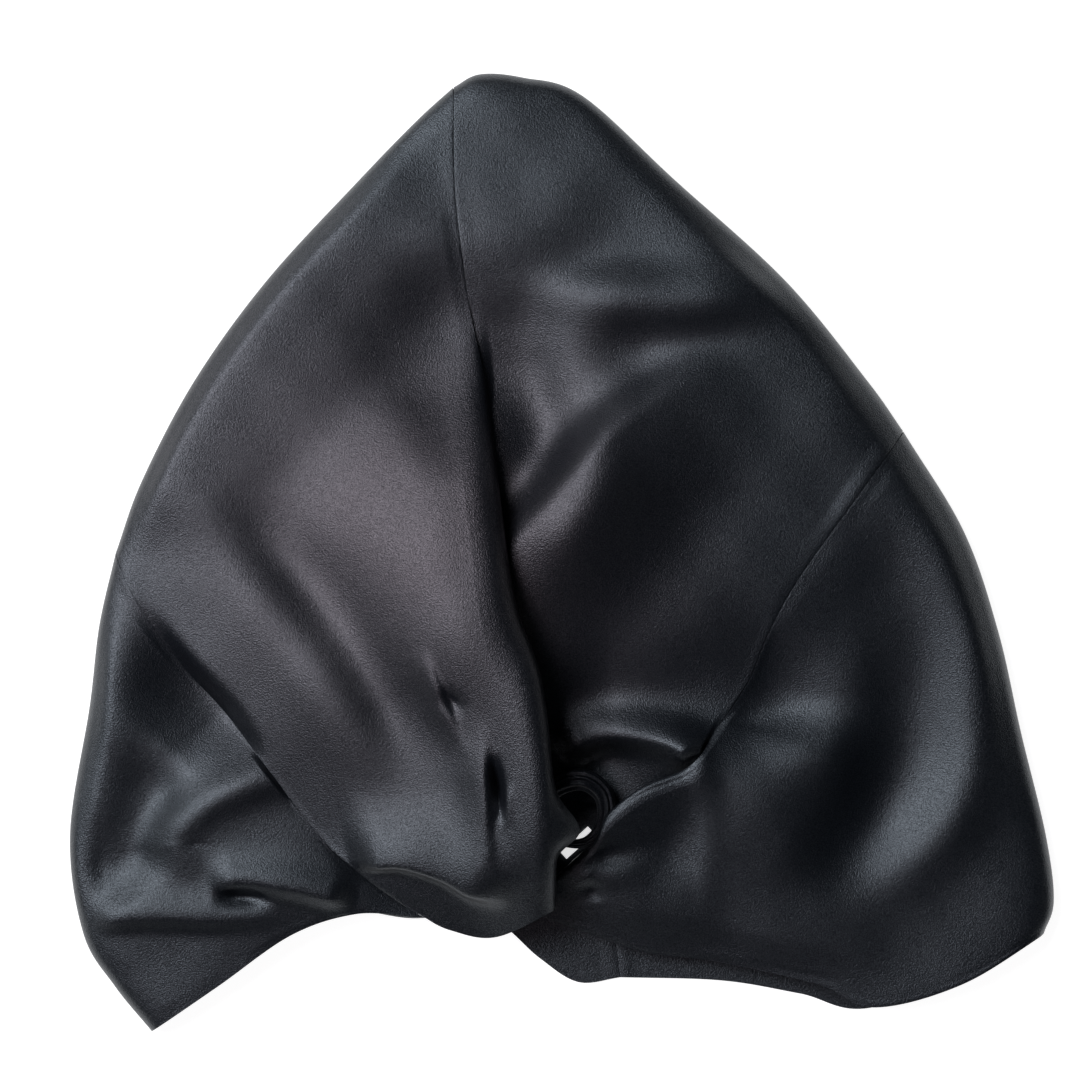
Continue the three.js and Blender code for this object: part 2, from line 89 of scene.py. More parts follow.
# Side folds seen from above (x, y), where the front turns over to the back.
SIDE_CROWN_LEFT = [(-136, 0), (-128, 22), (-112, 52.5), (-90, 83), (-61.5, 114), (-44, 132), (-33, 142)]
SIDE_CROWN_RIGHT = [
    (-33, 142),
    (-25, 146),
    (-12, 145),
    (6, 139.5),
    (34, 114),
    (68, 83),
    (93, 52.5),
    (104, 37),
]
SIDE_BAND_LEFT = [
    (-125, -146),
    (-136.5, -132),
    (-146, -116),
    (-150, -86),
    (-144, -47),
    (-141, -22),
    (-136, 0),
]
SIDE_BAND_RIGHT = [(147, -116), (150, -106), (147.5, -86), (140, -55), (133, -24), (122.5, 6.5), (104, 37)]

# Seams and edges of the front (x, y, height of the cloth's middle before the shoulder lifts it).
SEAM_LEFT = [
    (-136, 0, 6.6),
    (-130.5, -12.5, 8),
    (-116, -34, 10),
    (-100, -51.5, 11.5),
    (-76, -83, 12),
    (-61.5, -96.5, 14),
    (-44, -109, 13),
]
BAND_LEFT_TOP = [(-66, -93.5, 10.5), (-55, -99, 7.5), (-40, -105, 5)]
SEAM_RIGHT = [
    (104, 37, 6.6),
    (91.5, 20, 10),
    (71.5, -8, 12),
    (62, -25.5, 12.5),
    (56.5, -39, 13.5),
    (46.5, -54, 16),
    (41, -62, 18),
]
CENTRE_SEAM = [(-33, 142, 6.6), (-32.5, 110, 8), (-29, 80, 10.5)]
LEFT_LOOP_EDGE = [
    (-23, 49, 17),
    (-18.5, 15, 28),
    (-14, -15, 33),
    (-6.5, -37, 36),
    (-3, -65, 37),
    (-2, -88, 34.5),
    (-2, -107, 25),
]
LEFT_LOOP_END = [(-44, -109, 13), (-34, -114, 12), (-20, -116, 13), (-2, -107, 25)]
RIGHT_DIVE = [(-25, 49, 11), (-27, 25, 12), (-23, 0, 11), (-17, -30, 10), (-10, -55, 6), (-6, -74, 3.4)]
UNDER_LOBE = [(43, -59.6, 15.6), (45.5, -65, 8), (51, -70, 5)]
CAVITY_FLOOR = [(-6, -74, 3.4), (14, -77, 1.8), (34, -80, 2.2), (51, -70, 5)]
LOBE_RIM = [(36, -66, 17.5), (24, -71, 17), (14, -79, 15.5), (10, -87, 14), (3, -94, 11), (-3, -100, 8)]
RIGHT_KNOT_END = [(-15, -108, 5), (-9, -104, 6.5), (-3, -100, 8)]
HEM_LEFT = [
    (-125, -146, 6.6),
    (-104, -131.5, 7),
    (-82, -116, 8.5),
    (-62, -109.5, 9),
    (-44, -111, 7),
    (-30, -110, 5),
]
LEFT_KNOT_END = [(-30, -110, 5), (-40, -105, 5)]
HEM_RIGHT = [
    (147, -116, 6.6),
    (121.5, -131.5, 6),
    (95, -138.5, 5),
    (78, -131.5, 4.4),
    (46, -124.5, 3.2),
    (24, -121.5, 3.2),
    (0, -113, 4),
    (-15, -108, 5),
]

# Edges of the back (x, y), and the shares along the side folds at which it meets the turned-under strips.
HEM_BACK_LEFT = [(-93, -121), (-66, -106), (-40, -106), (-20, -113), (-7, -124), (5, -131.5), (18, -130)]
HEM_BACK_RIGHT = [(18, -130), (49, -131), (73, -135), (95, -139.3)]
CENTRE_BACK = [(18, -130), (8, -60), (-6, 20), (-19, 90)]
BAND_SHARES = np.linspace(0, 1, 41)
CROWN_LEFT_SHARES = np.linspace(0.025, 0.96, 38)
CROWN_RIGHT_SHARES = np.linspace(0.975, 0.1, 36)
BACK_TOP_SHARE = 0.05

# A fold: its rise, its width to the left and right of its path, how far its crest leans to the right,
# the shares of the path over which it fades in and out, and its path from above.
Fold = namedtuple("Fold", "name rise left right lean fade_in fade_out path")


def folds(*rows):
    return [Fold(*row) for row in rows]


CROWN_LEFT_FOLDS = folds(
    (
        "left rim", 3, 7, 26, 0, 0.15, 0.25,
        [(-127, -2), (-121, 19), (-106, 49), (-85, 79), (-58, 109), (-41, 127)],
    ),
    ("seam ridge", 2.2, 13, 13, 0, 0.3, 0.3, [(-126, 12), (-101, -8), (-79, -35), (-64, -56), (-54, -80)]),
    ("loop shoulder", 4, 15, 34, 0, 0.4, 0.4, [(-60, 52), (-50, 32), (-40, 0), (-31, -38), (-26, -70)]),
    ("long valley", -3.8, 13, 10, 0, 0.35, 0.25, [(-104, 22), (-87, 3), (-66, -22), (-49, -52), (-44, -70)]),
    ("pinch line", 1.5, 1.8, 4, 0, 0.4, 0.5, [(-43, -26), (-39, -37), (-32.4, -53), (-27, -62)]),
    ("pinch pit", -1.7, 2.4, 3, 0, 0.5, 0.5, [(-37.5, -40), (-33, -44), (-27, -47.5)]),
    ("loop slit", -6, 1.9, 2, 0, 0.5, 0.5, [(-20.6, -59), (-20, -66), (-18.6, -74), (-16.4, -81)]),
    ("slit lip", 2.4, 2.5, 7, 0, 0.4, 0.5, [(-24.5, -48), (-23.5, -64), (-23, -80), (-21, -92), (-16, -99)]),
    ("slit edge", 1.4, 2, 1.6, 0, 0.4, 0.5, [(-17, -68), (-16.6, -76), (-15, -82)]),
    ("lower tuck", 5, 13, 4, 4, 0.2, 0.3, [(-66, -92), (-50, -89.5), (-35, -93.5), (-25, -99), (-12, -104)]),
)
CENTRE_FOLDS = folds(
    ("dent", -7, 44, 25, 0, 0.4, 0.5, [(-33, 98), (-32, 78), (-31, 60), (-31, 42), (-36, 20)]),
)
CROWN_RIGHT_FOLDS = folds(
    ("tip valley", -2.8, 16, 9, 0, 0.5, 0.5, [(-26, 92), (5, 91), (46, 95)]),
    ("tip ridge", 3.4, 10, 9, 0, 0.35, 0.4, [(-14, 80), (12, 77), (40, 77), (78, 80)]),
    ("crown pit", -4, 12, 42, 0, 0.25, 0.75, [(0, 64), (18, 61), (44, 61), (80, 64), (112, 68)]),
    ("triangle edge", 1.2, 5, 13, 0, 0.4, 0.5, [(24, 56), (16, 45), (9, 36), (0, 25)]),
    ("groove", -6, 11, 14, 0, 0.4, 0.4, [(-22, 80), (-10, 51), (-4, 28), (-12, 6), (-16, -20)]),
    ("dive ridge", 14, 9, 24, 0, 0.35, 0.6, [(-35, -26), (-21, -9), (-7, 9), (9, 28), (32, 47), (70, 64)]),
    (
        "rim ridge", 8, 8, 4.5, 0, 0.22, 0.2,
        [(-3, -63.5), (6, -57.5), (17, -55), (31.5, -56.8), (38, -61.5), (42, -67)],
    ),
)
RIGHT_SEAM_FOLDS = folds(
    (
        "right swell", 3.2, 26, 34, 0, 0.55, 0.35,
        [(-10, 128), (22, 105), (53, 80), (79, 50), (88, 21), (82, -11)],
    ),
    ("lower hollow", -8, 23, 13, 0, 0.25, 0.4, [(-10, -52), (16, -52), (42, -50), (66, -46), (94, -40)]),
)
LEFT_SEAM_FOLDS = folds(
    ("wing hollow", -9, 3.5, 19, 0, 0.6, 0.35, [(-131, -12), (-117, -33), (-102, -50), (-90, -66)]),
)
BAND_LEFT_FOLDS = folds(
    ("wing rim", 3.2, 14, 7, 0, 0.3, 0.3, [(-136, -12), (-138, -45), (-142, -75), (-141, -100)]),
    ("lower hollow", -4.5, 9, 16, 0, 0.3, 0.3, [(-115, -62), (-127, -76), (-132, -90), (-123, -103)]),
    ("arc ridge", 2.6, 6, 6, 0, 0.15, 0.4, [(-78, -66), (-92, -69), (-108, -76), (-118, -87), (-110, -101)]),
    ("inner ridge", 3.4, 7, 3.4, 0, 0.2, 0.2, [(-109, -101), (-95, -99.5), (-80, -101.5), (-62, -106)]),
    ("pinch pit", -3.2, 3, 3.2, 0, 0.4, 0.5, [(-107, -104), (-98, -104), (-86, -104.5)]),
    ("low ridge", 2.6, 7, 3.6, 0, 0.2, 0.5, [(-148, -112), (-126, -110), (-105, -110.5), (-78, -109)]),
)
BAND_RIGHT_FOLDS = folds(
    (
        "wing ridge", 2.4, 9, 9, 0, 0.2, 0.3,
        [(96, 33), (118, -5), (126, -42), (120, -76), (100, -98), (74, -115)],
    ),
    ("wing valley", -5, 15, 17, 0, 0.65, 0.3, [(88, 12), (99, -12), (105, -45), (98, -74), (70, -104)]),
    ("lobe", 5.5, 15, 26, 0, 0.3, 0.5, [(82, -42), (80, -60), (73, -78), (58, -95), (42, -107)]),
    ("lobe hollow", -2.5, 11, 13, 0, 0.4, 0.4, [(50, -58), (41, -73), (31, -89), (15, -102)]),
    ("hem roll", 2.5, 9, 18, 0, 0.3, 0.2, [(102, -122), (76, -118), (46, -111), (24, -108), (4, -102)]),
    ("gather valley", -1.8, 5, 4.5, 0, 0.3, 0.6, [(2, -92), (14, -92), (30, -89)]),
    ("gather ridge", 1.3, 4.5, 4.5, 0, 0.3, 0.6, [(0, -97), (10, -97.5), (26, -95)]),
    ("knot dimple", -1.3, 3, 3, 0, 0.4, 0.5, [(6, -99), (9, -102), (10, -107)]),
)

# An edge that rolls over and down: inset when flat, inset when rolled, drop, share of the lip's reach.
LOOP_ROLL = [
    (12, 11.4, 0, 0),
    (9.5, 8.6, 0.35, 0),
    (7, 5.8, 1.1, 0),
    (4.8, 3.4, 2.4, 0.03),
    (2.8, 1.5, 4.2, 0.15),
    (1.2, 0.5, 6.6, 0.55),
    (0, 0.2, 10, 1),
]
LOBE_ROLL = [
    (6, 4.5, 0, 0),
    (4.5, 2.6, 0.5, 0),
    (3, 1.2, 1.3, 0),
    (1.5, 0.4, 2.2, 0),
    (0, 0.2, 3.2, 0),
]
# The bulge of the left loop's edge over the twist, and how far it runs out towards tip and hem.
LIP_REACH = 7.4
LIP_MIDDLE_Y = -83.0
LIP_TIP_RUN = 8.0
LIP_HEM_RUN = 5.0

# The gathered strip in the middle of the twist: x, y, height and radius along it.
CORE = [
    (-12, -77, 9, 2.4),
    (-5, -73, 11.6, 3.1),
    (1, -69.5, 12.4, 3.4),
    (7, -69, 12.6, 3.4),
    (12, -72.5, 11.2, 3.2),
    (13.5, -78, 9.6, 2.9),
    (12, -84, 8.2, 2.3),
    (7.5, -88, 7, 1.6),
    (2, -88.6, 6, 1.4),
    (-5, -86, 5.5, 2),
    (-10, -84, 5, 2.4),
]
CORE_STEPS = 220
CORE_SIDES = 96
PLEATS = 9
PLEAT_DEPTH = 0.22  # of the strip's radius
PLEAT_DRIFT = 0.9  # radians that the pleats turn about the strip from end to end
PLEAT_SWAY = 0.6  # radians of unevenness between the pleats
PLEAT_SWAYS = 3  # its waves about the strip
CORE_MAP_RADIUS = 4  # radius and length that the strip's cloth map is laid out with
CORE_MAP_LENGTH = 60

# The label: its length and width, mean place, turn from +X in degrees, how far its middle rises and its
# ends dip, its thickness, and the points along and across it.
LABEL_SIZE = (11.5, 3)
LABEL_PLACE = (4.7, -88.7, 2.2)
LABEL_TURN = 42
LABEL_CURL = 0.3
LABEL_THICK = 0.4
LABEL_POINTS = (29, 17)

# Long shallow waves of the cloth: size, pace along x and y, start.
RIPPLES = [
    (0.16, 9.0, 14.0, 0.3),
    (0.14, -12.0, 8.5, 1.9),
    (0.10, 5.2, -7.0, 4.1),
    (0.07, -4.1, -5.6, 2.6),
]


def smooth(low, high, value):
    t = np.clip((value - low) / (high - low), 0, 1)
    return t * t * (3 - 2 * t)


def bump(value, middle, run):
    return np.exp(-(((value - middle) / run) ** 2))


def spline(rows, height=0.0, steps=CURVE_STEPS):
    """Points along a Catmull-Rom curve through the rows, and how far along each lies, from 0 to 1."""
    p = np.array([(*r, height) if len(r) == 2 else r for r in rows], float)
    p = np.vstack([2 * p[0] - p[1], p, 2 * p[-1] - p[-2]])
    t = np.linspace(0, 1, steps, endpoint=False)[:, None]
    pieces = []
    for a, b, c, d in zip(p, p[1:], p[2:], p[3:]):
        m0, m1 = (c - a) / 2, (d - b) / 2
        pieces.append(
            (2 * b - 2 * c + m0 + m1) * t**3 + (-3 * b + 3 * c - 2 * m0 - m1) * t**2 + m0 * t + b
        )
    line = np.vstack([*pieces, p[-2:-1]])
    run = np.concatenate([[0], np.cumsum(np.linalg.norm(np.diff(line, axis=0), axis=1))])
    return line, run / run[-1]


def rail(rows, height=0.0):
    line, share = spline(rows, height)
    return lambda s: np.stack([np.interp(s, share, line[:, k]) for k in range(3)], axis=-1)


def length_of(rows):
    line, _ = spline(rows)
    return float(np.linalg.norm(np.diff(line, axis=0), axis=1).sum())


def flat_length(a, b):
    return np.hypot(a[..., 0] - b[..., 0], a[..., 1] - b[..., 1])


def four_edges(panel):
    """Surface through four edges: side (v = 0), end (v = 1), low (u = 0) and high (u = 1)."""
    side, end, low, high = (panel[k] for k in ("side", "end", "low", "high"))
    c00, c10, c01, c11 = side(0.0), side(1.0), end(0.0), end(1.0)

    def at(u, v):
        a, b = np.asarray(u, float)[..., None], np.asarray(v, float)[..., None]
        ruled = (1 - b) * side(u) + b * end(u) + (1 - a) * low(v) + a * high(v)
        return ruled - ((1 - a) * (1 - b) * c00 + a * (1 - b) * c10 + (1 - a) * b * c01 + a * b * c11)

    return at


def fold_shift(fold, p):
    """How a fold moves the cloth at the points p."""
    line, share = spline(fold.path, steps=FOLD_STEPS)
    start, step = line[:-1, :2], np.diff(line[:, :2], axis=0)
    reach = np.linalg.norm(step, axis=1)
    along = step / reach[:, None]
    flat = p[..., :2].reshape(-1, 2)
    nearest = np.full(len(flat), np.inf)
    rightward, where, along_x, along_y = np.zeros((4, len(flat)))
    for i in range(len(step)):
        off = flat - start[i]
        run = np.clip(off @ along[i], 0, reach[i])
        gap = np.hypot(*(off - run[:, None] * along[i]).T)
        nearer = gap < nearest
        nearest[nearer] = gap[nearer]
        rightward[nearer] = (off[:, 0] * along[i][1] - off[:, 1] * along[i][0])[nearer]
        where[nearer] = (share[i] + (share[i + 1] - share[i]) * run / reach[i])[nearer]
        along_x[nearer], along_y[nearer] = along[i]
    width = np.where(rightward > 0, fold.right, fold.left)
    fade = smooth(0, fold.fade_in, where) * smooth(0, fold.fade_out, 1 - where)
    size = np.exp(-((nearest / width) ** 2)) * fade
    shift = np.stack([along_y * fold.lean * size, -along_x * fold.lean * size, fold.rise * size], axis=-1)
    return shift.reshape(p.shape)


def ripple(p):
    """The slight unevenness of lying silk: a few long, shallow waves across one another."""
    height = 0
    for size, pace_x, pace_y, start in RIPPLES:
        height = height + size * np.sin(p[..., 0] / pace_x + p[..., 1] / pace_y + start)
    return height


def edge_detail(kind, away, along):
    """Height of the cloth near a sewn or hemmed edge."""
    if kind == "seam":
        stitches = np.sin(2 * math.pi * along / STITCH_PITCH)
        pucker = STITCH_PUCKER * stitches * np.exp(-away / STITCH_PUCKER_RUN)
        return pucker - SEAM_SINK * np.exp(-away / SEAM_SINK_RUN)
    return HEM_BEAD * bump(away, HEM_BEAD_AT, HEM_BEAD_RUN)


def front_surface(panel):
    """The middle of a front panel's cloth. Folds of its own die out at its seams, shared ones cross them."""
    base = four_edges(panel)
    ends = {"low": 0.0, "high": 1.0}

    def at(u, v):
        p = base(u, v)
        inside = flat_length(p, base(u, np.zeros_like(u)))
        middle = PUFF_SCALE * u * (1 - u) * (v * (1 - v)) ** 2
        over = 1 - np.minimum(1, inside / SIDE_RUN)
        p[..., 2] += panel["puff"] * middle + SIDE_ROUND * (np.sqrt(1 - over**2) - 1)
        p[..., 2] += SHOULDER_RISE * (1 - np.exp(-inside / SHOULDER_RUN))
        near_side = smooth(0, SIDE_EASE, inside)
        eased = near_side * smooth(0, SEAM_EASE, u) * smooth(0, SEAM_EASE, 1 - u)
        shift = sum(fold_shift(fold, p) for fold in panel["folds"])
        shift[..., 2] += ripple(p)
        shared = sum(fold_shift(fold, p) for fold in panel["shared_folds"])
        detail = 0
        for edge, (kind, first, last) in panel["edges"].items():
            line = base(np.full_like(v, ends[edge]), v)
            starts = smooth(first - EDGE_FADE, first + EDGE_FADE, v)
            stops = smooth(-EDGE_FADE - last, EDGE_FADE - last, -v)
            height = edge_detail(kind, flat_length(p, line), panel["length"][edge] * v)
            detail = detail + height * (starts * stops)
        p = p + shift * eased[..., None] + shared * near_side[..., None]
        p[..., 2] += detail * smooth(0, SIDE_ROUND, inside)
        return p

    return at


def inward(panel, u):
    """The level way in from a panel's side."""
    base = four_edges(panel)
    step = base(u, np.full_like(u, INWARD_STEP)) - base(u, np.zeros_like(u))
    step[..., 2] = 0
    return step / np.linalg.norm(step, axis=-1, keepdims=True)


def under_edge(panel, u, reach, height=LYING_HEIGHT):
    p = panel["side"](u) + inward(panel, u) * reach
    p[..., 2] = height
    return p


def crowded_at_start(count):
    """Shares from 0 to 1 that leave 0 slowly, to follow the round of the side."""
    s = np.linspace(0, 1, count + 1)
    return np.where(s < SLOW_START, s**2 / (2 * SLOW_START), s - SLOW_START / 2) / (1 - SLOW_START / 2)


def crowded_at_ends(count):
    s = np.linspace(0, 1, count + 1)
    return s - END_CROWDING * np.sin(2 * math.pi * s) / (2 * math.pi)


def front_grid(panel):
    """Rows of points: the strip turned under, the round of the side, then the front."""
    at = front_surface(panel)
    base = four_edges(panel)
    gap = SEAM_GAP / 2
    spaced = crowded_at_ends(panel["across"])
    plain = np.zeros_like(spaced)
    roll = spline(panel["roll"], steps=ROLL_STEPS)[0].T if panel["roll"] else None

    def columns(v, rolled):
        """Where each column lies across the panel, and how far a rolled edge moves it down and out."""
        width = flat_length(base(0.0, v), base(1.0, v))
        if roll is None:
            return gap / width + (1 - 2 * gap / width) * spaced, plain, plain
        flat, tight, drop, lip_share = roll
        inset = gap + flat + (tight - flat) * rolled
        u = np.concatenate([gap / width + (1 - (inset[0] + gap) / width) * spaced, 1 - inset[1:] / width])
        y = panel["high"](v)[1]
        lip = LIP_REACH * bump(y, LIP_MIDDLE_Y, LIP_TIP_RUN if y > LIP_MIDDLE_Y else LIP_HEM_RUN)
        down = np.concatenate([plain, drop[1:] * rolled])
        out = np.concatenate([plain, lip_share[1:] * rolled * lip])
        return u, down, out

    u, _, _ = columns(0.0, 0.0)
    rows = []
    for reach in np.linspace(UNDER_REACH, SIDE_ROUND, UNDER_ROWS, endpoint=False):
        rows.append(under_edge(panel, u, reach))
    for turn in np.radians(np.linspace(-90, 0, ROUND_ROWS, endpoint=False)):
        reach = SIDE_ROUND * (1 - math.cos(turn))
        rows.append(under_edge(panel, u, reach, LYING_HEIGHT + SIDE_ROUND * (1 + math.sin(turn))))
    shares = crowded_at_start(panel["along"])
    us, downs, outs = (np.array(part) for part in zip(*(columns(v, panel["rolled"](v)) for v in shares)))
    front = at(us, np.repeat(shares[:, None], us.shape[1], axis=1))
    front[..., 0] += outs
    front[..., 2] -= downs
    return np.concatenate([np.array(rows), front])


def add_mesh(name, points, faces, uv):
    mesh = bpy.data.meshes.new(name)
    mesh.vertices.add(len(points))
    mesh.vertices.foreach_set("co", (points * MM).ravel())
    mesh.loops.add(faces.size)
    mesh.loops.foreach_set("vertex_index", faces.ravel())
    mesh.polygons.add(len(faces))
    mesh.polygons.foreach_set("loop_start", np.arange(0, faces.size, faces.shape[1]))
    mesh.polygons.foreach_set("use_smooth", np.ones(len(faces), bool))
    mesh.update(calc_edges=True)
    mesh.uv_layers.new(name="cloth").data.foreach_set("uv", (uv * MM)[faces.ravel()].ravel())
    mesh.set_sharp_from_angle(angle=math.radians(SHARP_ANGLE))
    obj = bpy.data.objects.new(name, mesh)
    bpy.context.scene.collection.objects.link(obj)
    return obj


def cloth_mesh(name, grid, thick):
    """Closed cloth of even thickness about a grid of points in millimetres."""
    rows, cols = grid.shape[:2]
    normal = np.cross(np.gradient(grid, axis=1), np.gradient(grid, axis=0))
    normal /= np.linalg.norm(normal, axis=-1, keepdims=True)
    skins = [(grid + side * normal * thick / 2).reshape(-1, 3) for side in (1, -1)]
    index = np.arange(rows * cols).reshape(rows, cols)
    a, b, c, d = index[:-1, :-1], index[:-1, 1:], index[1:, 1:], index[1:, :-1]
    top = np.stack([a, b, c, d], axis=-1).reshape(-1, 4)
    bottom = np.stack([a, d, c, b], axis=-1).reshape(-1, 4) + rows * cols
    loop = np.concatenate([index[0, :], index[1:, -1], index[-1, -2::-1], index[-2:0:-1, 0]])
    after = np.roll(loop, -1)
    rim = np.stack([after, loop, loop + rows * cols, after + rows * cols], axis=-1)
    run_across = np.cumsum(np.linalg.norm(np.diff(grid, axis=1, prepend=grid[:, :1]), axis=-1), axis=1)
    run_down = np.cumsum(np.linalg.norm(np.diff(grid, axis=0, prepend=grid[:1]), axis=-1), axis=0)
    uv = np.stack([run_across, run_down], axis=-1).reshape(-1, 2)
    faces = np.concatenate([top, bottom, rim])
    return add_mesh(name, np.concatenate(skins), faces, np.concatenate([uv, uv]))


def strip_rail(rows):
    """Place and radius along a strip whose rows are x, y, height and radius."""
    p = np.array(rows, float)
    centre, share = spline([tuple(r[:3]) for r in p])
    at_row = np.array([share[np.argmin(np.linalg.norm(centre - r[:3], axis=1))] for r in p])

    def at(s):
        place = np.stack([np.interp(s, share, centre[:, k]) for k in range(3)], axis=-1)
        return place, np.interp(s, at_row, p[:, 3])[:, None]

    return at


def core_mesh(name):
    """The gathered strip of the twist, drawn into a strand with its pleats running along it."""
    shares = np.linspace(0, 1, CORE_STEPS)
    path, thick = strip_rail(CORE)(shares)
    along = np.gradient(path, axis=0)
    along /= np.linalg.norm(along, axis=1, keepdims=True)
    side = np.cross(along, (0, 0, 1))
    side /= np.linalg.norm(side, axis=1, keepdims=True)
    over = np.cross(side, along)
    turn = np.linspace(0, 2 * math.pi, CORE_SIDES, endpoint=False)
    drift = PLEAT_DRIFT * shares[:, None]
    wave = np.cos(PLEATS * turn + PLEATS * drift + PLEAT_SWAY * np.sin(PLEAT_SWAYS * turn))
    radius = thick * (1 - PLEAT_DEPTH * (1 - wave) / 2)
    ring = path[:, None] + radius[..., None] * (
        np.cos(turn)[None, :, None] * side[:, None] + np.sin(turn)[None, :, None] * over[:, None]
    )
    index = np.arange(CORE_STEPS * CORE_SIDES).reshape(CORE_STEPS, CORE_SIDES)
    after = np.roll(index, -1, axis=1)
    walls = np.stack([index[:-1], after[:-1], after[1:], index[1:]], axis=-1).reshape(-1, 4)
    middle = CORE_STEPS * CORE_SIDES
    caps = []
    for row, point, flip in ((0, middle, False), (-1, middle + 1, True)):
        for j in range(0, CORE_SIDES, 2):
            three = [index[row, j], index[row, (j + 1) % CORE_SIDES], index[row, (j + 2) % CORE_SIDES]]
            caps.append([point] + (three if flip else three[::-1]))
    points = np.vstack([ring.reshape(-1, 3), path[0], path[-1]])
    run = np.linspace(0, CORE_MAP_LENGTH, CORE_STEPS)[:, None]
    uv = np.stack(np.broadcast_arrays(turn[None, :] * CORE_MAP_RADIUS, run), axis=-1).reshape(-1, 2)
    uv = np.vstack([uv, [[0, 0], [0, CORE_MAP_LENGTH]]])
    return add_mesh(name, points, np.concatenate([walls, np.array(caps)]), uv)


def label_grid():
    u, v = np.meshgrid(*(np.linspace(-0.5, 0.5, count) for count in LABEL_POINTS))
    turn = math.radians(LABEL_TURN)
    x, y = u * LABEL_SIZE[0], v * LABEL_SIZE[1]
    grid = np.stack(
        [
            LABEL_PLACE[0] + x * math.cos(turn) - y * math.sin(turn),
            LABEL_PLACE[1] + x * math.sin(turn) + y * math.cos(turn),
            LABEL_PLACE[2] + LABEL_CURL * np.cos(2 * math.pi * u),
        ],
        axis=-1,
    )
    return grid[::-1]


def front_panel(name, side, low, high, end, puff, edges, **more):
    """A front panel between its four edges.

    edges gives the kind of each sewn or hemmed edge, and the shares of it where that starts and stops;
    rolled gives how far the high edge has rolled over at a share along it.
    """
    return {
        "name": name,
        "side": rail(side, SIDE_TOP),
        "low": rail(low),
        "high": rail(high),
        "end": rail(end),
        "puff": puff,
        "edges": edges,
        "roll": None,
        "rolled": lambda v: 0.0,
        "length": {"low": length_of(low), "high": length_of(high)},
        **more,
    }


PANELS = [
    front_panel(
        "crown_left",
        side=SIDE_CROWN_LEFT,
        low=SEAM_LEFT,
        high=CENTRE_SEAM + LEFT_LOOP_EDGE,
        end=LEFT_LOOP_END,
        puff=3,
        edges={"low": ("seam", 0, 1), "high": ("seam", 0, 0.27)},
        across=150,
        along=200,
        folds=CROWN_LEFT_FOLDS,
        shared_folds=LEFT_SEAM_FOLDS + CENTRE_FOLDS,
        roll=LOOP_ROLL,
        rolled=lambda v: float(smooth(0.26, 0.5, v)),
    ),
    front_panel(
        "crown_right",
        side=SIDE_CROWN_RIGHT,
        low=CENTRE_SEAM + RIGHT_DIVE,
        high=SEAM_RIGHT[:-1] + UNDER_LOBE,
        end=CAVITY_FLOOR,
        puff=4,
        edges={"low": ("seam", 0, 0.29), "high": ("seam", 0, 0.9)},
        across=170,
        along=200,
        folds=CROWN_RIGHT_FOLDS,
        shared_folds=RIGHT_SEAM_FOLDS + CENTRE_FOLDS,
    ),
    front_panel(
        "band_left",
        side=SIDE_BAND_LEFT,
        low=HEM_LEFT,
        high=SEAM_LEFT[:-2] + BAND_LEFT_TOP,
        end=LEFT_KNOT_END,
        puff=2,
        edges={"high": ("seam", 0, 0.85)},
        across=160,
        along=150,
        folds=BAND_LEFT_FOLDS,
        shared_folds=LEFT_SEAM_FOLDS,
    ),
    front_panel(
        "band_right",
        side=SIDE_BAND_RIGHT,
        low=HEM_RIGHT,
        high=SEAM_RIGHT + LOBE_RIM,
        end=RIGHT_KNOT_END,
        puff=-2,
        edges={"low": ("hem", 0, 1), "high": ("seam", 0, 0.63)},
        across=200,
        along=190,
        folds=BAND_RIGHT_FOLDS,
        shared_folds=RIGHT_SEAM_FOLDS,
        roll=LOBE_ROLL,
        rolled=lambda v: float(smooth(0.64, 0.72, v)),
    ),
]


def back_rails():
    """The four edges of each half of the back."""
    by_name = {panel["name"]: panel for panel in PANELS}

    def under(name, shares):
        return [tuple(p) for p in under_edge(by_name[name], shares, UNDER_REACH + BACK_GAP)]

    def lying(rows):
        return [(x, y, LYING_HEIGHT) for x, y in rows]

    left = under("band_left", BAND_SHARES) + under("crown_left", CROWN_LEFT_SHARES)
    right = under("band_right", BAND_SHARES) + under("crown_right", CROWN_RIGHT_SHARES)
    top = under("crown_right", np.array([BACK_TOP_SHARE]))
    corner = under("crown_left", np.array([1.0]))
    centre = rail(lying(CENTRE_BACK) + top)
    return {
        "back_left": {
            "side": rail(left),
            "end": centre,
            "low": rail(left[:1] + lying(HEM_BACK_LEFT)),
            "high": rail(left[-1:] + corner + top),
        },
        "back_right": {
            "side": rail(right),
            "end": centre,
            "low": rail(right[:1] + lying(HEM_BACK_RIGHT[::-1])),
            "high": rail(right[-1:] + top),
        },
    }


def back_grid(edges, mirrored):
    at = four_edges(edges)
    u, v = np.meshgrid(np.linspace(0, 1, BACK_ROWS + 1), np.linspace(0, 1, BACK_COLUMNS + 1), indexing="ij")
    seam = at(u, np.ones_like(v))
    width = flat_length(at(u, np.zeros_like(v)), seam)
    p = at(u, v * (1 - BACK_SEAM_GAP / 2 / width))
    p[..., 2] = LYING_HEIGHT + BACK_WELT * bump(flat_length(p, seam), BACK_WELT_AT, BACK_WELT_RUN)
    return p[:, ::-1] if mirrored else p


# Satin: black threads, mottled a little, with a fine grain that breaks up the sheen.
SATIN_BASE = (0.0034, 0.0042, 0.006)
SATIN_REFLECT = 0.62
NOISE_MIDDLE = (0.25, 0.75)  # where most of a noise's values lie
NOISE_DETAIL = 2
MOTTLE_SCALE = 38
MOTTLE = (0.7, 1.3)
GRAIN_SCALE = 2400
GRAIN_REFLECT = (0.45, 1.6)
GRAIN_ROUGHNESS = (0.35, 0.43)
GRAIN_RELIEF = 0.7
GRAIN_DEPTH = 0.0003
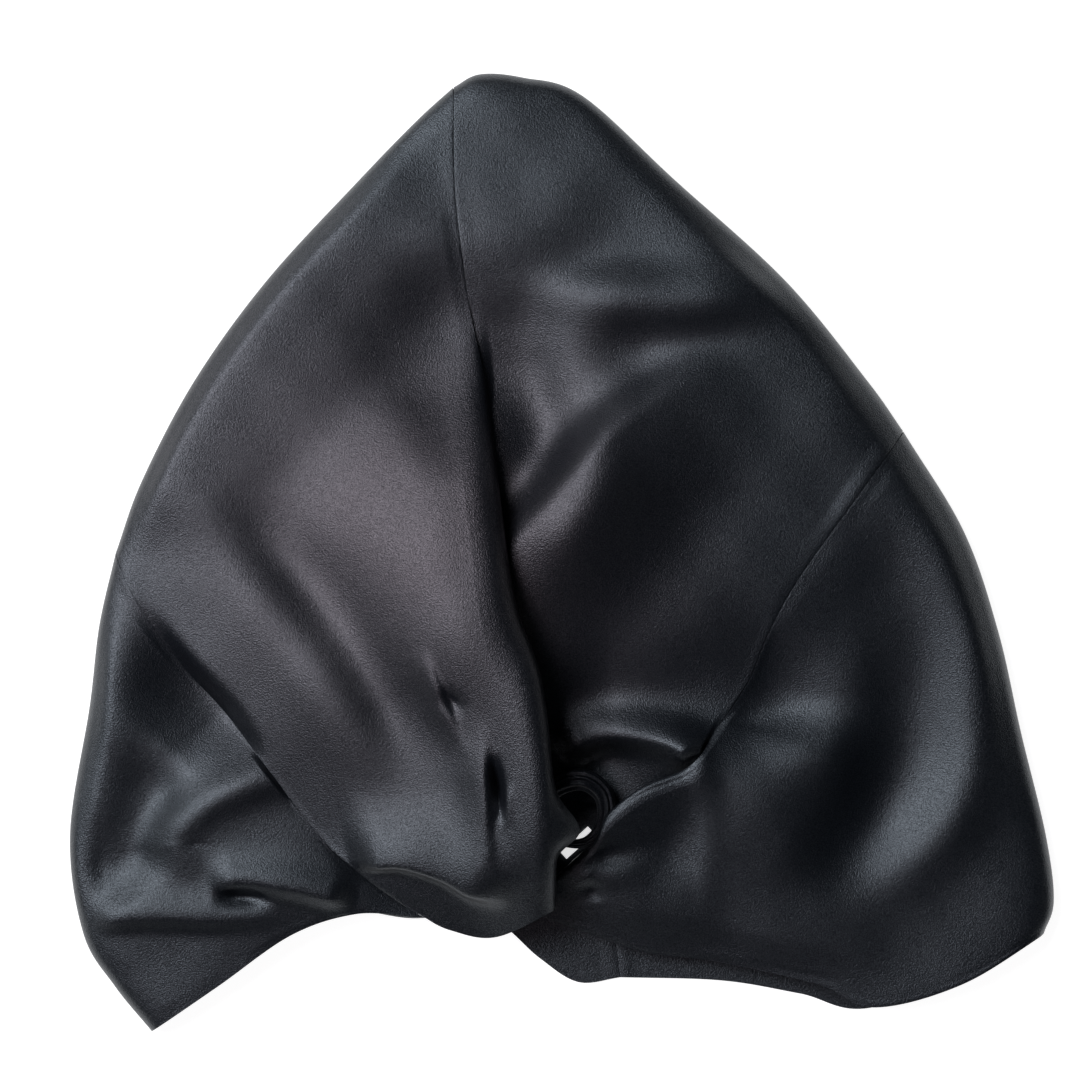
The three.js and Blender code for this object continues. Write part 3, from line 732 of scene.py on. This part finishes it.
# The sheen's colour is painted by place: a painted warm reflection over the left loop, cooler away from it.
PAINTED_WARMTH_MIDDLE = (-0.045, 0.01, 0.02)
PAINTED_WARMTH_REACH = (0.02, 0.11)
PAINTED_WARM_REFLECTION = (1.0, 0.88, 0.95)
PAINTED_COOL_REFLECTION = (0.84, 0.92, 1.0)

# White woven tape, whose glow is painted light that keeps it white in the twist's shade, and the paper that
# the bonnet lies on; both as bright as overexposed white.
TAPE_TONES = ((0.82, 0.82, 0.8), (0.95, 0.95, 0.94))
TAPE_WEAVE_SCALE = 900
TAPE_RELIEF = 0.3
TAPE_DEPTH = 0.0002
TAPE_ROUGHNESS = 0.7
TAPE_PAINTED_GLOW = 0.7
PAPER_TONE = (0.3, 0.3, 0.3)
PAPER_ROUGHNESS = 0.9
PAPER_GLOW = 0.95
PAPER_SIZE = 6
WHITE = (1, 1, 1)


def set_inputs(node, values):
    for name, value in values.items():
        node.inputs[name].default_value = value


class Finish:
    """A material with one principled shader, and the nodes that feed it."""

    def __init__(self, name):
        self.material = bpy.data.materials.new(name)
        self.material.use_nodes = True
        self.nodes = self.material.node_tree.nodes
        self.link = self.material.node_tree.links.new
        self.shader = self.nodes["Principled BSDF"]

    def place(self):
        return self.nodes.new("ShaderNodeTexCoord").outputs["Object"]

    def texture(self, kind, values):
        """A procedural texture's strength at each point of the object."""
        node = self.nodes.new(kind)
        set_inputs(node, values)
        self.link(self.place(), node.inputs["Vector"])
        return node.outputs["Fac"]

    def distance(self, point):
        """How far each point of the object lies from a point in its own axes."""
        node = self.nodes.new("ShaderNodeVectorMath")
        node.operation = "DISTANCE"
        node.inputs[1].default_value = point
        self.link(self.place(), node.inputs[0])
        return node.outputs["Value"]

    def spread(self, value, before, after=(0, 1)):
        """A value's range before, stretched to another one after."""
        node = self.nodes.new("ShaderNodeMapRange")
        set_inputs(node, {"From Min": before[0], "From Max": before[1]})
        set_inputs(node, {"To Min": after[0], "To Max": after[1]})
        self.link(value, node.inputs["Value"])
        return node.outputs["Result"]

    def blend(self, factor, first, second):
        node = self.nodes.new("ShaderNodeMix")
        node.data_type = "RGBA"
        set_inputs(node, {"A": (*first, 1), "B": (*second, 1)})
        self.link(factor, node.inputs["Factor"])
        return node.outputs["Result"]

    def relief(self, height, strength, depth):
        node = self.nodes.new("ShaderNodeBump")
        set_inputs(node, {"Strength": strength, "Distance": depth})
        self.link(height, node.inputs["Height"])
        return node.outputs["Normal"]

    def feed(self, sources):
        for name, source in sources.items():
            self.link(source, self.shader.inputs[name])


def satin():
    """Black satin: dark threads, a broad sheen tinted with a painted reflection colour, warm over the left
    loop, and a fine grain.
    """
    finish = Finish("satin")
    grain = finish.texture("ShaderNodeTexNoise", {"Scale": GRAIN_SCALE, "Detail": NOISE_DETAIL})
    mottle = finish.texture("ShaderNodeTexNoise", {"Scale": MOTTLE_SCALE, "Detail": NOISE_DETAIL})
    dark, light = ([share * c for c in SATIN_BASE] for share in MOTTLE)
    painted_coolness = finish.spread(finish.distance(PAINTED_WARMTH_MIDDLE), PAINTED_WARMTH_REACH)
    reflect = [share * SATIN_REFLECT for share in GRAIN_REFLECT]
    finish.feed(
        {
            "Base Color": finish.blend(mottle, dark, light),
            # Specular Tint is a painted reflection colour: warm near the left loop, cool away from it.
            "Specular Tint": finish.blend(painted_coolness, PAINTED_WARM_REFLECTION, PAINTED_COOL_REFLECTION),
            "Specular IOR Level": finish.spread(grain, NOISE_MIDDLE, reflect),
            "Roughness": finish.spread(grain, NOISE_MIDDLE, GRAIN_ROUGHNESS),
            "Normal": finish.relief(grain, GRAIN_RELIEF, GRAIN_DEPTH),
        }
    )
    return finish.material


def tape():
    """White woven tape, with a painted glow that keeps it bright in the shade of the twist."""
    finish = Finish("tape")
    weave = finish.texture("ShaderNodeTexWave", {"Scale": TAPE_WEAVE_SCALE})
    finish.feed(
        {
            "Base Color": finish.blend(weave, *TAPE_TONES),
            "Normal": finish.relief(weave, TAPE_RELIEF, TAPE_DEPTH),
        }
    )
    # The tape's glow is painted light: it keeps the tape white in the shade of the twist.
    glow = {"Emission Color": (*WHITE, 1), "Emission Strength": TAPE_PAINTED_GLOW}
    set_inputs(finish.shader, {"Roughness": TAPE_ROUGHNESS, **glow})
    return finish.material


def paper():
    """Plain white paper."""
    finish = Finish("paper")
    glow = {"Emission Color": (*WHITE, 1), "Emission Strength": PAPER_GLOW}
    set_inputs(finish.shader, {"Base Color": (*PAPER_TONE, 1), "Roughness": PAPER_ROUGHNESS, **glow})
    return finish.material


SATIN = satin()
TAPE = tape()


def dress(piece, node, material):
    piece.data.materials.append(material)
    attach(piece, "root")
    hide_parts(node)


cloths = {}
for panel in PANELS:
    name = panel["name"]
    cloths[name] = cloth_mesh(name + "_cloth", front_grid(panel), WALL)
    dress(cloths[name], name, SATIN)
for name, edges in back_rails().items():
    cloths[name] = cloth_mesh(name + "_cloth", back_grid(edges, name == "back_right"), WALL)
    dress(cloths[name], name, SATIN)
dress(core_mesh("twist_strip"), "twist_core", SATIN)
dress(cloth_mesh("label_tape", label_grid(), LABEL_THICK), "label", TAPE)

bpy.ops.mesh.primitive_plane_add(size=PAPER_SIZE)
floor = bpy.context.object
floor.name = "floor"
floor.data.materials.append(paper())

# The record of a panel as it was cut, with the columns node, greatest width and length in metres, area in
# square metres, held and rests_on; no panel is entered in it here.
Cut = namedtuple("Cut", "node width length area held rests_on")

# Square lights: bearing from +X and height above the floor in degrees, distance and size in metres.
Light = namedtuple("Light", "name bearing height distance size watts colour")
LIGHTS = [
    Light("window", 150, 48, 1.8, 1.1, 40, (0.92, 0.95, 1.0)),
    Light("ceiling", 215, 64, 2.0, 0.8, 3.5, (1.0, 0.8, 0.86)),
]
ROOM_COLOUR = (0.6, 0.8, 1)
ROOM_STRENGTH = 0.02
scene = bpy.context.scene
for row in LIGHTS:
    light = bpy.data.lights.new(row.name, "AREA")
    light.shape = "SQUARE"
    light.size = row.size
    light.energy = row.watts
    light.color = row.colour
    lamp = bpy.data.objects.new(row.name, light)
    turn, climb = math.radians(row.bearing), math.radians(row.height)
    lamp.location = (
        row.distance * math.cos(climb) * math.cos(turn),
        row.distance * math.cos(climb) * math.sin(turn),
        row.distance * math.sin(climb),
    )
    lamp.rotation_euler = (math.pi / 2 - climb, 0, turn + math.pi / 2)
    scene.collection.objects.link(lamp)
world = bpy.data.worlds.new("room")
world.use_nodes = True
set_inputs(world.node_tree.nodes["Background"], {"Color": (*ROOM_COLOUR, 1), "Strength": ROOM_STRENGTH})
scene.world = world
scene.view_settings.view_transform = "Standard"

# The photograph's frame is 330.5 mm wide at the height of the side folds, its middle at CAMERA_OVER.
FRAME_WIDTH = 330.5 * MM
CAMERA_OVER = (-6.7 * MM, 4.0 * MM)
LENS = 135.0
SENSOR = 36.0
CLIP_END = 10
camera_data = bpy.data.cameras.new("camera")
camera_data.lens = LENS
camera_data.sensor_width = SENSOR
camera_data.clip_end = CLIP_END
camera = bpy.data.objects.new("camera", camera_data)
camera.location = (*CAMERA_OVER, FRAME_WIDTH * LENS / SENSOR + SIDE_ROUND * MM)
scene.collection.objects.link(camera)
scene.camera = camera
